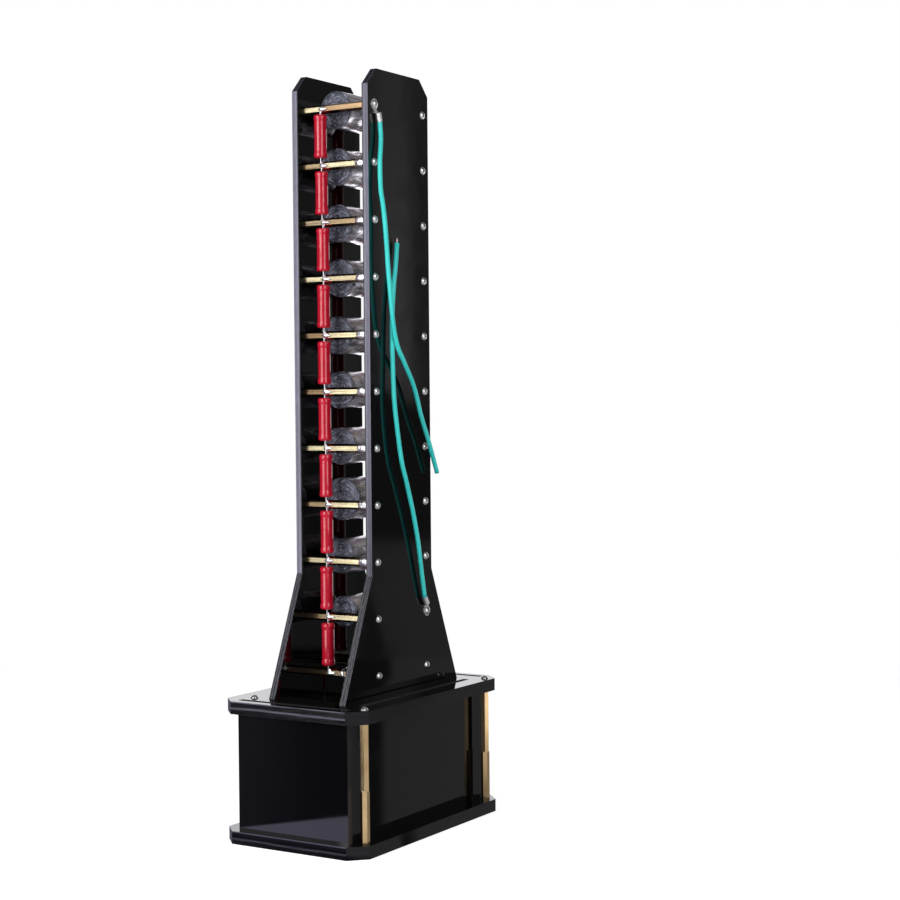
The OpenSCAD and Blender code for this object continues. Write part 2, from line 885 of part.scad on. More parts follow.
supply_case();
supply_potting();
supply_terminal();
supply_wires();
supply_wire_ends();
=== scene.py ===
# Dresses the ten-stage spark-gap generator: wound capacitors, lacquered resistors, hand-made
# solder, brass rods, polished acrylic and the two turquoise output leads.
# Shapes are in millimetres until mm() turns them into metres. Lamps and all that nodes
# measure are in metres.
import bpy
import math
import random
from mathutils import Matrix, Vector, noise


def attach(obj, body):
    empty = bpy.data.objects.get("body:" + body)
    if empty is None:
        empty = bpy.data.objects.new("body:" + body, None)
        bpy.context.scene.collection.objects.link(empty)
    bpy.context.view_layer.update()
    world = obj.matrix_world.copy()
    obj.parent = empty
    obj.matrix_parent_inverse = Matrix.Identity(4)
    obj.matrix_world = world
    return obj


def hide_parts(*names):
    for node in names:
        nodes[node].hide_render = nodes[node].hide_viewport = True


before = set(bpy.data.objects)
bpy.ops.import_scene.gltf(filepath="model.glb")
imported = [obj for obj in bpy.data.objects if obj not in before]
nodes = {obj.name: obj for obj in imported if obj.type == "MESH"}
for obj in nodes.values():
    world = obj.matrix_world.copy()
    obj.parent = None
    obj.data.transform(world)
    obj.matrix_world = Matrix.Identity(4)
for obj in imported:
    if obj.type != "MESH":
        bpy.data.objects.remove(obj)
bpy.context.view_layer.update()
BODY = "root"
SCALE = 0.001

# Sizes that the part's source also uses.
LEVELS = 11
PITCH = 40.0
LOW_Z = 115.0
TOWER_X = 1.6
FRONT_Y = -32.45
REAR_Y = 30.05
ROD_FLAT = 2.75
ROD_LEN = 55.0
RES_X = -10.5
RES_LEN = 30.6
RES_RISE = 0.6
RES_OUT = 3.25
CAP_X = -6.0
CAP_LIFT = 1.0
CAP_R = 13.5
CAP_LEN = 44.5
CAP_WRAP = 0.8
GAP_X = 20.5
FEED_X = 2.5
LEAD_R = 1.65
BARE_TIP = 4.0
TOP_PLATE_Z = 91.0
BASE_SIDE = 60.0
# Hand-wound capacitors differ: extra thickness, shift along X, lift, from the top down.
CAP_FIT = [(0.4, 0, -0.4), (0.5, -0.2, -0.8), (0.3, 0, -1), (0.7, 1.5, 0.2), (1, -1.2, -0.6),
    (0, 0.4, 0.6), (0.4, 0, 0.5), (4.6, 2.1, 2.5), (-0.8, -0.4, 1.6), (-4, 2.6, 2.1)]
# Shift along X of each hand-placed resistor, from the top down.
RES_SHIFT = [-0.4, 0.2, 0.9, 0.9, 0.9, 0.9, 1.4, 1.7, 1.1, 1.8]
# How far each level of rods is browned, left and right of the resistors, lowest first.
LEFT_BROWN = [0.9, 0.85, 0, 0.85, 0, 1, 1, 0.1, 0.7, 0.85, 0.1]
RIGHT_BROWN = [0.4, 0, 0, 0.1, 0, 0, 0.1, 0.4, 0.85, 0, 1]


def mm(*point):
    """A point in millimetres as a vector in metres."""
    return Vector([a * SCALE for a in point])


def level_z(k):
    """Height of the rods at level k, counted from the top."""
    return LOW_Z + (LEVELS - k) * PITCH


# Camera
def set_camera():
    """The photograph's camera, with the place, axes and lens that fit the screw heads."""
    data = bpy.data.cameras.new("studio_camera")
    data.sensor_width = 36
    data.lens = 73.56
    data.clip_start = 0.05
    cam = bpy.data.objects.new("studio_camera", data)
    bpy.context.scene.collection.objects.link(cam)
    right = Vector((0.85144568, 0.5243753, -0.00841379))
    up = Vector((-0.00736833, 0.02800284, 0.99958069))
    back = Vector((0.52439104, -0.85102666, 0.02770667))
    turn = Matrix((right, up, back)).transposed().to_4x4()
    cam.matrix_world = Matrix.Translation(mm(752.664, -1101.172, 309.269)) @ turn
    bpy.context.scene.camera = cam


set_camera()


# Mesh helpers
def piece(name, shape):
    """A new smooth object from a shape in millimetres, riding on the one body."""
    mesh = bpy.data.meshes.new(name)
    mesh.from_pydata([mm(*v) for v in shape.verts], [], shape.faces)
    mesh.update()
    for p in mesh.polygons:
        p.use_smooth = True
    obj = bpy.data.objects.new(name, mesh)
    bpy.context.scene.collection.objects.link(obj)
    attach(obj, BODY)
    return obj


def dress(obj, material):
    """Gives an object its one material."""
    obj.data.materials.clear()
    obj.data.materials.append(material)


class Shape:
    """Collects points and faces of several rings, tubes and lathed forms."""

    def __init__(self):
        self.verts = []
        self.faces = []

    def grid(self, rows):
        """Skins closed rings of points, one after the other, and closes both ends."""
        base = len(self.verts)
        n = len(rows[0])
        for row in rows:
            self.verts.extend(row)
        for i in range(len(rows) - 1):
            for j in range(n):
                k = (j + 1) % n
                a = base + i * n
                self.faces.append((a + j, a + k, a + n + k, a + n + j))
        self.faces.append(tuple(base + j for j in reversed(range(n))))
        last = base + (len(rows) - 1) * n
        self.faces.append(tuple(last + j for j in range(n)))

    def lathe(self, profile, axis, sides, wobble=None):
        """Turns (radius, height) pairs round an axis; wobble may change each radius."""
        rows = []
        for r, h in profile:
            row = []
            for j in range(sides):
                a = 2 * math.pi * j / sides
                q = wobble(r, h, a) if wobble else r
                x, y = q * math.cos(a), q * math.sin(a)
                row.append({"Z": (x, y, h), "Y": (y, h, x)}[axis])
            rows.append(row)
        self.grid(rows)


def ring(centre, u, v, radius, sides):
    """A circle of points round a centre, in the plane of u and v."""
    turns = (2 * math.pi * j / sides for j in range(sides))
    return [tuple(centre + radius * (math.cos(a) * u + math.sin(a) * v)) for a in turns]


def across(way):
    """Two directions square to a way that runs mainly up or down."""
    u = way.cross(Vector((1, 0, 0))).normalized()
    return u, way.cross(u)


def smooth_route(route, steps):
    """The same curve through route points as in the part's source, with more places on it."""
    pts = [Vector(p) for p in route]
    out = []
    for i in range(len(pts) - 1):
        a, b = pts[max(i - 1, 0)], pts[i]
        c, d = pts[i + 1], pts[min(i + 2, len(pts) - 1)]
        for j in range(steps):
            t = j / steps
            curve = 2 * a - 5 * b + 4 * c - d + t * (3 * (b - c) + d - a)
            out.append(b + 0.5 * t * (c - a + t * curve))
    out.append(pts[-1])
    return out


def tube_rows(path, first, radius, sides):
    """Rings of points along a path that sets off in the first direction."""
    rows = []
    for i, p in enumerate(path):
        if i == 0:
            way = first
        elif i == len(path) - 1:
            way = path[-1] - path[-2]
        else:
            way = path[i + 1] - path[i - 1]
        rows.append(ring(p, *across(way.normalized()), radius, sides))
    return rows


# Output leads
ROUTE_STEPS = 6
LEAD_SIDES = 24
CUT_BEVEL = 0.12
UPPER_START = Vector((36.85, -29.2148, 502.9259))
UPPER_WAY = Vector((0, 0.25882, -0.96593))
UPPER_ROUTE = [(0, 0, 0), (0.6, 0.2, -12.4), (1.3, -2.2, -28.8), (2, -2.6, -47),
    (2.6, -0.6, -59), (3.4, 1, -76), (4.4, 2.4, -103), (4.8, 5, -125.4),
    (4.8, 8, -143.4), (4.6, 13.2, -156.6), (4.2, 21.6, -167), (3.8, 35.2, -185),
    (3.4, 45, -206), (3, 55.6, -224.6), (3, 66.6, -247.4)]
LOWER_START = Vector((36.85, 23.612, 165.7146))
LOWER_WAY = Vector((0, -0.51504, 0.85717))
LOWER_ROUTE = [(0, 0, 0), (0.9, -5.6, 20.4), (1.6, -10.4, 39.5), (2.3, -18.2, 62.9),
    (2.7, -27.6, 86.1), (2.9, -33.4, 99.9), (2.7, -38.4, 122.7), (2.1, -41.2, 145.3),
    (1.3, -41.2, 167.9), (0.9, -41.2, 188.9), (0.7, -40, 207.9), (0.5, -37.6, 225.7),
    (0.3, -35.4, 234.9), (0.1, -33.3, 247.6), (0, -32.3, 254.2)]


def insulated_lead(name, node, start, way, route):
    """A turquoise lead along its route, with its cut ends slightly bevelled."""
    path = [start + p for p in smooth_route(route, ROUTE_STEPS)]
    shape = Shape()
    rows = tube_rows(path, way, LEAD_R, LEAD_SIDES)
    ends = tube_rows(path, way, LEAD_R - CUT_BEVEL, LEAD_SIDES)
    shape.grid([ends[0]] + rows + [ends[-1]])
    lead = piece(name, shape)
    for p in list(lead.data.polygons)[-2:]:
        p.use_smooth = False
    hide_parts(node)
    return lead, path


def strand_bundle(end, way):
    """Seven tinned strands, twisted to a point, that stand out of the lower lead's end."""
    strands, places, sides = 7, 11, 8
    spread, thick, tip, sunk = 0.6, 0.34, 0.08, 0.2
    twist = 26
    u, v = across(way)
    shape = Shape()
    for s in range(strands):
        rows = []
        for i in range(places):
            f = i / (places - 1)
            h = BARE_TIP * f - sunk
            taper = 1 - 0.62 * f ** 1.3
            away = spread * taper if s < strands - 1 else 0.0
            a = math.radians(60 * s + twist * h)
            c = end + way * h + away * (math.cos(a) * u + math.sin(a) * v)
            rows.append(ring(c, u, v, thick * taper if i < places - 1 else tip, sides))
        shape.grid(rows)
    return piece("bare_strands", shape)


upper_lead, upper_path = insulated_lead("upper_output_lead", "upper_lead",
                                        UPPER_START, UPPER_WAY, UPPER_ROUTE)
lower_lead, lower_path = insulated_lead("lower_output_lead", "lower_lead",
                                        LOWER_START, LOWER_WAY, LOWER_ROUTE)
strands = strand_bundle(lower_path[-1], (lower_path[-1] - lower_path[-2]).normalized())
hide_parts("lead_strands")


# Node helpers
def new_group(name, ins, outs):
    """A shader node group with named sockets: {name: (kind, default)} and {name: kind}."""
    g = bpy.data.node_groups.new(name, "ShaderNodeTree")
    for n, (kind, value) in ins.items():
        s = g.interface.new_socket(n, in_out="INPUT", socket_type="NodeSocket" + kind)
        if value is not None:
            s.default_value = value
    for n, kind in outs.items():
        g.interface.new_socket(n, in_out="OUTPUT", socket_type="NodeSocket" + kind)
    a = g.nodes.new("NodeGroupInput")
    b = g.nodes.new("NodeGroupOutput")
    return g, a.outputs, b.inputs


def fill(tree, socket, value):
    """Links a socket to another node's output, or sets its plain value."""
    if isinstance(value, bpy.types.NodeSocket):
        tree.links.new(value, socket)
    else:
        socket.default_value = value


def put(tree, kind, links=None, **props):
    """Adds a node, sets its properties, and fills its inputs by name or number."""
    n = tree.nodes.new("ShaderNode" + kind)
    for k, v in props.items():
        setattr(n, k, v)
    for key, v in (links or {}).items():
        fill(tree, n.inputs[key], v)
    return n


def use(tree, group, **links):
    """Places a node group and fills its inputs by name."""
    n = tree.nodes.new("ShaderNodeGroup")
    n.node_tree = group
    for key, v in links.items():
        fill(tree, n.inputs[key.replace("_", " ")], v)
    return n.outputs


def maths(tree, operation, *values):
    return put(tree, "Math", dict(enumerate(values)), operation=operation).outputs[0]


def times(tree, value, *more):
    for v in more:
        value = maths(tree, "MULTIPLY", value, v)
    return value


def plus(tree, value, *more):
    for v in more:
        value = maths(tree, "ADD", value, v)
    return value


def minus(tree, a, b):
    return maths(tree, "SUBTRACT", a, b)


def larger(tree, a, b):
    return maths(tree, "MAXIMUM", a, b)


def unsigned(tree, a):
    return maths(tree, "ABSOLUTE", a)


def ramp(tree, value, lo, hi, to_lo=0.0, to_hi=1.0, smooth=True):
    """Maps a range of values to another one, with soft ends unless smooth is off."""
    kind = "SMOOTHSTEP" if smooth else "LINEAR"
    return put(tree, "MapRange", {0: value, 1: lo, 2: hi, 3: to_lo, 4: to_hi},
               interpolation_type=kind).outputs[0]


def band(tree, value, start, full, fade, end):
    """1 between full and fade, 0 before start and past end."""
    return times(tree, ramp(tree, value, start, full), ramp(tree, value, end, fade))


def blend(tree, share, a, b):
    return put(tree, "Mix", {0: share, 2: a, 3: b}, data_type="FLOAT").outputs[0]


def mix_colour(tree, share, a, b):
    solid = [v if isinstance(v, bpy.types.NodeSocket) else (*v, 1) for v in (a, b)]
    return put(tree, "Mix", {0: share, 6: solid[0], 7: solid[1]}, data_type="RGBA").outputs[2]


def grain(tree, place, scale, detail, **more):
    """Plain noise as one value."""
    links = {"Vector": place, "Scale": scale, "Detail": detail, **more}
    return put(tree, "TexNoise", links).outputs[0]


def split(tree, vector):
    return put(tree, "SeparateXYZ", {0: vector}).outputs


def material(name, **sockets):
    """A material with one Principled BSDF, whose plain values are set on its own sockets."""
    m = bpy.data.materials.new(name)
    m.use_nodes = True
    t = m.node_tree
    bsdf = t.nodes["Principled BSDF"]
    for key, v in sockets.items():
        bsdf.inputs[key.replace("_", " ")].default_value = v
    return m, t, bsdf.inputs


def bump(tree, height, strength, distance):
    links = {"Height": height, "Strength": strength, "Distance": distance}
    return put(tree, "Bump", links).outputs[0]


# Shared effects
def make_streaks():
    """Fine parallel streaks along one axis: drawn bar, cut sheet edges and wound tape."""
    g, i, o = new_group("fine streaks", {"Place": ("Vector", None),
        "Stretch": ("Vector", (1, 1, 1)), "Scale": ("Float", 1.0)},
        {"Streak": "Float", "Soft": "Float"})
    drawn = put(g, "Mapping", {"Vector": i["Place"], "Scale": i["Stretch"]}).outputs[0]
    streak = grain(g, drawn, i["Scale"], 6.0, Roughness=0.65)
    g.links.new(ramp(g, streak, 0.3, 0.7), o["Streak"])
    g.links.new(ramp(g, grain(g, i["Place"], 60.0, 3.0), 0.35, 0.65), o["Soft"])
    return g


def make_handling():
    """Finger marks, fine dust and faint rubbing on a polished surface."""
    g, i, o = new_group("handling marks", {"Place": ("Vector", None), "Dust": ("Float", 0.5)},
        {"Smear": "Float", "Specks": "Float"})
    rubbed = grain(g, i["Place"], 28.0, 5.0, Distortion=1.2)
    cells = put(g, "TexVoronoi", {"Vector": i["Place"], "Scale": 420.0, "Randomness": 1.0})
    near = ramp(g, cells.outputs[0], 0.12, 0.03)
    some = ramp(g, grain(g, i["Place"], 900.0, 1.0), 0.62, 0.7)
    g.links.new(ramp(g, rubbed, 0.35, 0.75), o["Smear"])
    g.links.new(times(g, near, some, i["Dust"]), o["Specks"])
    return g


def make_side_mask():
    """Tells a sheet's cut edges from its polished faces, from the surface direction."""
    g, i, o = new_group("cut edge mask", {"Direction": ("Vector", None),
        "Sheet Axis": ("Vector", (0, 0, 1))}, {"Edge": "Float"})
    facing = put(g, "VectorMath", {0: i["Direction"], 1: i["Sheet Axis"]},
                 operation="DOT_PRODUCT").outputs["Value"]
    g.links.new(ramp(g, unsigned(g, facing), 0.6, 0.4, smooth=False), o["Edge"])
    return g


def make_winding():
    """The spiral of film ends on a wound roll, round the piece's own Y axis."""
    g, i, o = new_group("wound film ends", {"Place": ("Vector", None),
        "Turns Per Metre": ("Float", 2200.0)}, {"Spiral": "Float", "Crease": "Float"})
    slack = 0.0058
    x, _, z = split(g, i["Place"])
    radius = maths(g, "SQRT", plus(g, times(g, x, x), times(g, z, z)))
    around = maths(g, "DIVIDE", maths(g, "ARCTAN2", x, z), 2 * math.pi)
    warp = grain(g, i["Place"], 190.0, 5.0, Roughness=0.6)
    radius = plus(g, radius, times(g, warp, slack))
    turns = plus(g, times(g, radius, i["Turns Per Metre"]), around)
    g.links.new(ramp(g, maths(g, "SINE", times(g, turns, 2 * math.pi)), -1.0, 1.0), o["Spiral"])
    own = split(g, put(g, "ObjectInfo").outputs["Location"])[2]
    polar = put(g, "CombineXYZ", {0: times(g, around, 9.0), 1: times(g, radius, 760.0),
        2: times(g, own, 90.0)}).outputs[0]
    g.links.new(ramp(g, grain(g, polar, 1.5, 5.0, Roughness=0.6), 0.5, 0.66), o["Crease"])
    return g


STREAKS = make_streaks()
HANDLING = make_handling()
CUT_EDGE = make_side_mask()
WINDING = make_winding()
AXES = {"X": (1, 0, 0), "Y": (0, 1, 0), "Z": (0, 0, 1)}


# Materials
def polished_face(t, tex):
    """Colour and roughness of the sheet's polished faces, with dust and finger marks."""
    marks = use(t, HANDLING, Place=tex["Object"], Dust=0.6)
    face = mix_colour(t, marks["Specks"], (0.0018, 0.0017, 0.0021), (0.07, 0.07, 0.08))
    return face, ramp(t, marks["Smear"], 0.0, 1.0, 0.03, 0.07, smooth=False)


def sheet_edge(t, tex, bsdf, sheet_axis, edge, edge_rough, high, depth):
    """Joins the faces' look and the cut edges' look in one material."""
    mask = use(t, CUT_EDGE, Direction=tex["Normal"], Sheet_Axis=AXES[sheet_axis])["Edge"]
    face, face_rough = polished_face(t, tex)
    t.links.new(mix_colour(t, mask, face, edge), bsdf["Base Color"])
    t.links.new(blend(t, mask, face_rough, edge_rough), bsdf["Roughness"])
    t.links.new(bump(t, times(t, high, mask), 0.4, depth), bsdf["Normal"])


def plate_acrylic():
    """The 9 mm plates: a glossy cut edge with a rougher painted highlight line and a painted
    highlight on the upper arris.
    """
    m, t, s = material("black acrylic plate", IOR=1.49)
    tex = put(t, "TexCoord").outputs
    place, facing = split(t, tex["Object"]), split(t, tex["Normal"])
    top_plate = maths(t, "GREATER_THAN", place[2], TOP_PLATE_Z * SCALE / 2)
    level = minus(t, place[2], times(t, top_plate, TOP_PLATE_Z * SCALE))
    # Painted highlights on the long edges: a pale line near mid height, wavering a little, and a
    # pale upper arris; both are also made rougher.
    unsteady = times(t, minus(t, grain(t, tex["Object"], 22.0, 4.0), 0.5), 0.0022)
    lower = ramp(t, top_plate, 0, 1, 0.0011, 0.0006, smooth=False)
    line = band(t, plus(t, level, unsteady, lower), 0.0036, 0.0046, 0.0049, 0.0059)
    arris = ramp(t, level, 0.0079, 0.0085)
    cut = use(t, STREAKS, Place=tex["Object"], Stretch=(30, 30, 1400), Scale=1.0)
    long_side = ramp(t, unsigned(t, facing[1]), 0.9, 0.97)
    short_side = ramp(t, unsigned(t, facing[0]), 0.9, 0.97)
    strong = ramp(t, top_plate, 0, 1, 0.36, 0.8, smooth=False)
    broken = ramp(t, cut["Streak"], 0.0, 0.6, 0.35, 1.0)
    painted_highlight = times(t, larger(t, times(t, line, 0.85), arris), broken, long_side, strong)
    # Painted shade: the base plate's long edges are dull and darkened above the line. Near
    # black and metallic, they mirror next to nothing there.
    painted_shade_band = times(t, band(t, level, 0.0042, 0.0052, 0.0080, 0.0085), long_side,
                 minus(t, 1.0, top_plate))
    edge = mix_colour(t, cut["Streak"], (0.003, 0.003, 0.004), (0.007, 0.0065, 0.009))
    edge = mix_colour(t, short_side, edge, (0.0062, 0.0058, 0.0064))
    edge = mix_colour(t, painted_highlight, edge, (0.13, 0.125, 0.17))
    edge = mix_colour(t, times(t, painted_shade_band, 0.6), edge, (0.0012, 0.0012, 0.0016))
    t.links.new(times(t, painted_shade_band, 0.84), s["Metallic"])
    sheet_edge(t, tex, s, "Z", edge, plus(t, times(t, painted_highlight, 0.36), 0.07), cut["Streak"], 0.00005)
    return m


def panel_acrylic():
    """The tall panels: matt pale upright edges, partly painted sheen, with painted highlight and
    shade lines; glossier edges on the slopes and the top, with painted highlight lines.
    """
    m, t, s = material("black acrylic panel", IOR=1.49)
    tex = put(t, "TexCoord").outputs
    place, facing = split(t, tex["Object"]), split(t, tex["Normal"])
    upright = ramp(t, unsigned(t, facing[1]), 0.95, 0.985, smooth=False)
    fine = use(t, STREAKS, Place=tex["Object"], Stretch=(600, 45, 160), Scale=1.0)
    long = use(t, STREAKS, Place=tex["Object"], Stretch=(1150, 7, 7), Scale=1.0)
    from_middle = unsigned(t, minus(t, place[0], TOWER_X * SCALE))
    deep = minus(t, from_middle, ROD_LEN / 2 * SCALE)

    def seam(at, half, soft):
        """A line along the edge, at a depth from the panel's inner face."""
        return ramp(t, unsigned(t, minus(t, deep, at)), half + soft, half)

    # The upright edges' pale grey is partly a matt sawn finish and partly a painted sheen; the seam
    # 3.5 mm from the inner face is a painted shade line, the one 1.6 mm from it a painted highlight
    # line.
    streaks = plus(t, times(t, fine["Streak"], 0.35), times(t, long["Streak"], 0.65))
    frosted_and_sheen = mix_colour(t, streaks, (0.092, 0.088, 0.128), (0.255, 0.244, 0.325))
    shade_seam = times(t, seam(0.0035, 0.0002, 0.0007), 0.35)
    frosted_and_sheen = mix_colour(t, shade_seam, frosted_and_sheen, (0.075, 0.072, 0.105))
    highlight_seam = times(t, seam(0.0016, 0.0003, 0.0008), 0.3)
    frosted_and_sheen = mix_colour(t, highlight_seam, frosted_and_sheen, (0.30, 0.29, 0.36))
    # Painted shade: the right panel's pale edges get darker towards its foot, and a little towards
    # its top.
    low, high = ramp(t, place[2], 0.34, 0.17, 0, 0.62), ramp(t, place[2], 0.40, 0.53, 0, 0.2)
    right_edge_shade = times(t, larger(t, low, high), maths(t, "GREATER_THAN", place[0], 0.0))
    frosted_and_sheen = mix_colour(t, right_edge_shade, frosted_and_sheen, (0.02, 0.02, 0.026))
    # Painted shade: a dark line along the inner face's arris.
    frosted_and_sheen = mix_colour(t, seam(0.0, 0.0006, 0.0004), frosted_and_sheen, (0.008, 0.008, 0.011))
    # Painted highlight lines along the glossier edges of the slopes and the top.
    line = larger(t, seam(0.0012, 0.0001, 0.0006), seam(0.0034, 0.0001, 0.0006))
    line = times(t, line, ramp(t, long["Streak"], 0.1, 0.6, 0.35, 0.9))
    line = larger(t, line, seam(0.0050, 0.0002, 0.0003))
    glossy = mix_colour(t, line, (0.0025, 0.0025, 0.005), (0.062, 0.059, 0.09))
    edge = mix_colour(t, upright, glossy, frosted_and_sheen)
    rough = blend(t, upright, plus(t, times(t, line, 0.3), 0.18), 0.5)
    sheet_edge(t, tex, s, "X", edge, rough, fine["Streak"], 0.0003)
    return m


def wall_acrylic(name, sheet_axis):
    """The base box's 5 mm walls: plain dark cut edges, upward faces in painted shade."""
    m, t, s = material(name, IOR=1.49)
    tex = put(t, "TexCoord").outputs
    cut = use(t, STREAKS, Place=tex["Object"], Stretch=(700, 700, 30), Scale=1.0)
    # Painted shade: upward faces, the tabs in the plate's slots, turn near black and fully rough.
    top = ramp(t, split(t, tex["Normal"])[2], 0.8, 0.9)
    edge = mix_colour(t, cut["Streak"], (0.006, 0.006, 0.008), (0.016, 0.015, 0.02))
    edge = mix_colour(t, top, edge, (0.0012, 0.0012, 0.0015))
    rough = larger(t, ramp(t, cut["Streak"], 0.0, 1.0, 0.3, 0.45, smooth=False), top)
    sheet_edge(t, tex, s, sheet_axis, edge, rough, cut["Streak"], 0.0002)
    return m


def by_level(t, z, weights):
    """One weight for each level of rods, lowest first, picked by the height on the tower."""
    foot = (LOW_Z - PITCH / 2) * SCALE
    share = maths(t, "DIVIDE", minus(t, z, foot), LEVELS * PITCH * SCALE)
    node = put(t, "ValToRGB", {0: share})
    node.color_ramp.interpolation = "CONSTANT"
    steps = node.color_ramp.elements
    steps[1].position = 1 / LEVELS
    for k in range(2, LEVELS):
        steps.new(k / LEVELS)
    for step, w in zip(steps, weights):
        step.color = (w, w, w, 1)
    return node.outputs[0]


def rod_browning_and_shade(t, tex):
    """Brown on some rods' left ends and on fewer rods' right parts, level by level as listed,
    and a painted dark reflection on every upper flat."""
    place = split(t, tex["Object"])
    ragged = times(t, minus(t, grain(t, tex["Object"], 160.0, 3.0), 0.5), 0.006)
    joint = TOWER_X + RES_X
    left = ramp(t, plus(t, place[0], ragged), (joint + 2.5) * SCALE, (joint - 1.5) * SCALE)
    sides = mix_colour(t, left, by_level(t, place[2], RIGHT_BROWN),
                       by_level(t, place[2], LEFT_BROWN))
    # Painted dark reflection: every upper flat is browned by its slope.
    return larger(t, sides, ramp(t, split(t, tex["Normal"])[2], 0.4, 0.7, 0, 0.85))


def drawn_brass(name, along, low, high, brown):
    """Drawn brass bar, bright on its flats, with faint draw marks and soft brown patches; the
    rods also get the listed browning and a painted dark reflection on the upper flats.
    """
    m, t, s = material(name, Metallic=1.0)
    tex = put(t, "TexCoord").outputs
    stretch = {"X": (14, 900, 900), "Z": (900, 900, 14)}[along]
    draw = use(t, STREAKS, Place=tex["Object"], Stretch=stretch, Scale=1.0)
    bright = mix_colour(t, draw["Streak"], low, high)
    stain_and_shade = times(t, draw["Soft"], 0.3)
    if along == "X":
        stain_and_shade = larger(t, stain_and_shade, rod_browning_and_shade(t, tex))
    t.links.new(mix_colour(t, stain_and_shade, bright, brown), s["Base Color"])
    t.links.new(ramp(t, draw["Streak"], 0, 1, 0.15, 0.24, smooth=False), s["Roughness"])
    t.links.new(bump(t, draw["Streak"], 0.15, 0.00003), s["Normal"])
    return m


def bright_metal(name, light, dark, rough_lo, rough_hi, scale, depth):
    """Nickel, tin or solder: a bright metal with small uneven patches."""
    m, t, s = material(name, Metallic=1.0)
    spots = grain(t, put(t, "TexCoord").outputs["Object"], scale, 4.0)
    patch = ramp(t, spots, 0.35, 0.7)
    t.links.new(mix_colour(t, patch, light, dark), s["Base Color"])
    t.links.new(ramp(t, patch, 0, 1, rough_lo, rough_hi, smooth=False), s["Roughness"])
    t.links.new(bump(t, spots, 0.4, depth), s["Normal"])
    return m


def crimson_lacquer():
    """The resistors' thick red lacquer, a little uneven where it ran."""
    m, t, s = material("crimson lacquer", IOR=1.5, Coat_Roughness=0.03)
    tex = put(t, "TexCoord").outputs
    spots = grain(t, tex["Object"], 260.0, 3.0)
    runs = use(t, STREAKS, Place=tex["Object"], Stretch=(500, 500, 40), Scale=1.0)
    base = mix_colour(t, ramp(t, spots, 0.3, 0.7), (0.46, 0.006, 0.022), (0.54, 0.010, 0.034))
    base = mix_colour(t, times(t, runs["Soft"], 0.2), base, (0.34, 0.002, 0.012))
    t.links.new(base, s["Base Color"])
    t.links.new(ramp(t, runs["Streak"], 0, 1, 0.09, 0.12, smooth=False), s["Roughness"])
    t.links.new(ramp(t, spots, 0.2, 0.8, 0.27, 0.33), s["Coat Weight"])
    t.links.new(bump(t, spots, 0.02, 0.0001), s["Normal"])
    return m


def capacitor_film():
    """Silvery film under clear tape on the sides, grey wound film ends on both faces."""
    m, t, s = material("taped film roll", IOR=1.5, Coat_Roughness=0.08)
    tex = put(t, "TexCoord").outputs
    wound = use(t, WINDING, Place=tex["Object"], Turns_Per_Metre=820.0)
    on_side = use(t, CUT_EDGE, Direction=tex["Normal"], Sheet_Axis=AXES["Y"])["Edge"]
    wrap = use(t, STREAKS, Place=tex["Object"], Stretch=(120, 18, 120), Scale=1.0)
    blot = grain(t, tex["Object"], 170.0, 5.0, Distortion=1.5)
    side = mix_colour(t, ramp(t, wrap["Streak"], 0.12, 0.4), (0.18, 0.15, 0.17), (0.88, 0.86, 0.93))
    side = mix_colour(t, times(t, wrap["Soft"], 0.3), side, (0.56, 0.46, 0.42))
    end = mix_colour(t, wound["Spiral"], (0.022, 0.024, 0.036), (0.105, 0.112, 0.165))
    end = mix_colour(t, ramp(t, blot, 0.42, 0.62, 0, 0.6), end, (0.02, 0.021, 0.028))
    end = mix_colour(t, times(t, wound["Crease"], 0.9), end, (0.43, 0.44, 0.58))
    t.links.new(mix_colour(t, on_side, end, side), s["Base Color"])
    t.links.new(ramp(t, on_side, 0, 1, 0.25, 0.9, smooth=False), s["Metallic"])
    rough_side = ramp(t, wrap["Soft"], 0, 1, 0.16, 0.26, smooth=False)
    t.links.new(blend(t, on_side, 0.45, rough_side), s["Roughness"])
    t.links.new(ramp(t, on_side, 0, 1, 0.1, 0.8, smooth=False), s["Coat Weight"])
    high = blend(t, on_side, wound["Crease"], wrap["Streak"])
    t.links.new(bump(t, high, 0.6, 0.0003), s["Normal"])
    return m


def soft_plastic(name, light, dark, rough_lo, rough_hi, scale, depth):
    """Insulation, moulded plastic or resin: an even colour with a fine grain."""
    m, t, s = material(name, IOR=1.47)
    place = put(t, "TexCoord").outputs["Object"]
    fine = grain(t, place, scale, 4.0)
    shade = ramp(t, grain(t, place, 45.0, 2.0), 0.3, 0.7)
    t.links.new(mix_colour(t, shade, light, dark), s["Base Color"])
    t.links.new(ramp(t, fine, 0.3, 0.7, rough_lo, rough_hi), s["Roughness"])
    t.links.new(bump(t, fine, 0.3, depth), s["Normal"])
    return m


PLATE = plate_acrylic()
PANEL = panel_acrylic()
WALL_Y = wall_acrylic("black acrylic end wall", "Y")
WALL_X = wall_acrylic("black acrylic side wall", "X")
ROD_BRASS = drawn_brass("drawn brass rod", "X",
                        (0.86, 0.74, 0.46), (0.96, 0.86, 0.57), (0.40, 0.265, 0.15))
POST_BRASS = drawn_brass("drawn brass post", "Z",
                         (0.95, 0.67, 0.33), (0.99, 0.78, 0.42), (0.62, 0.36, 0.17))
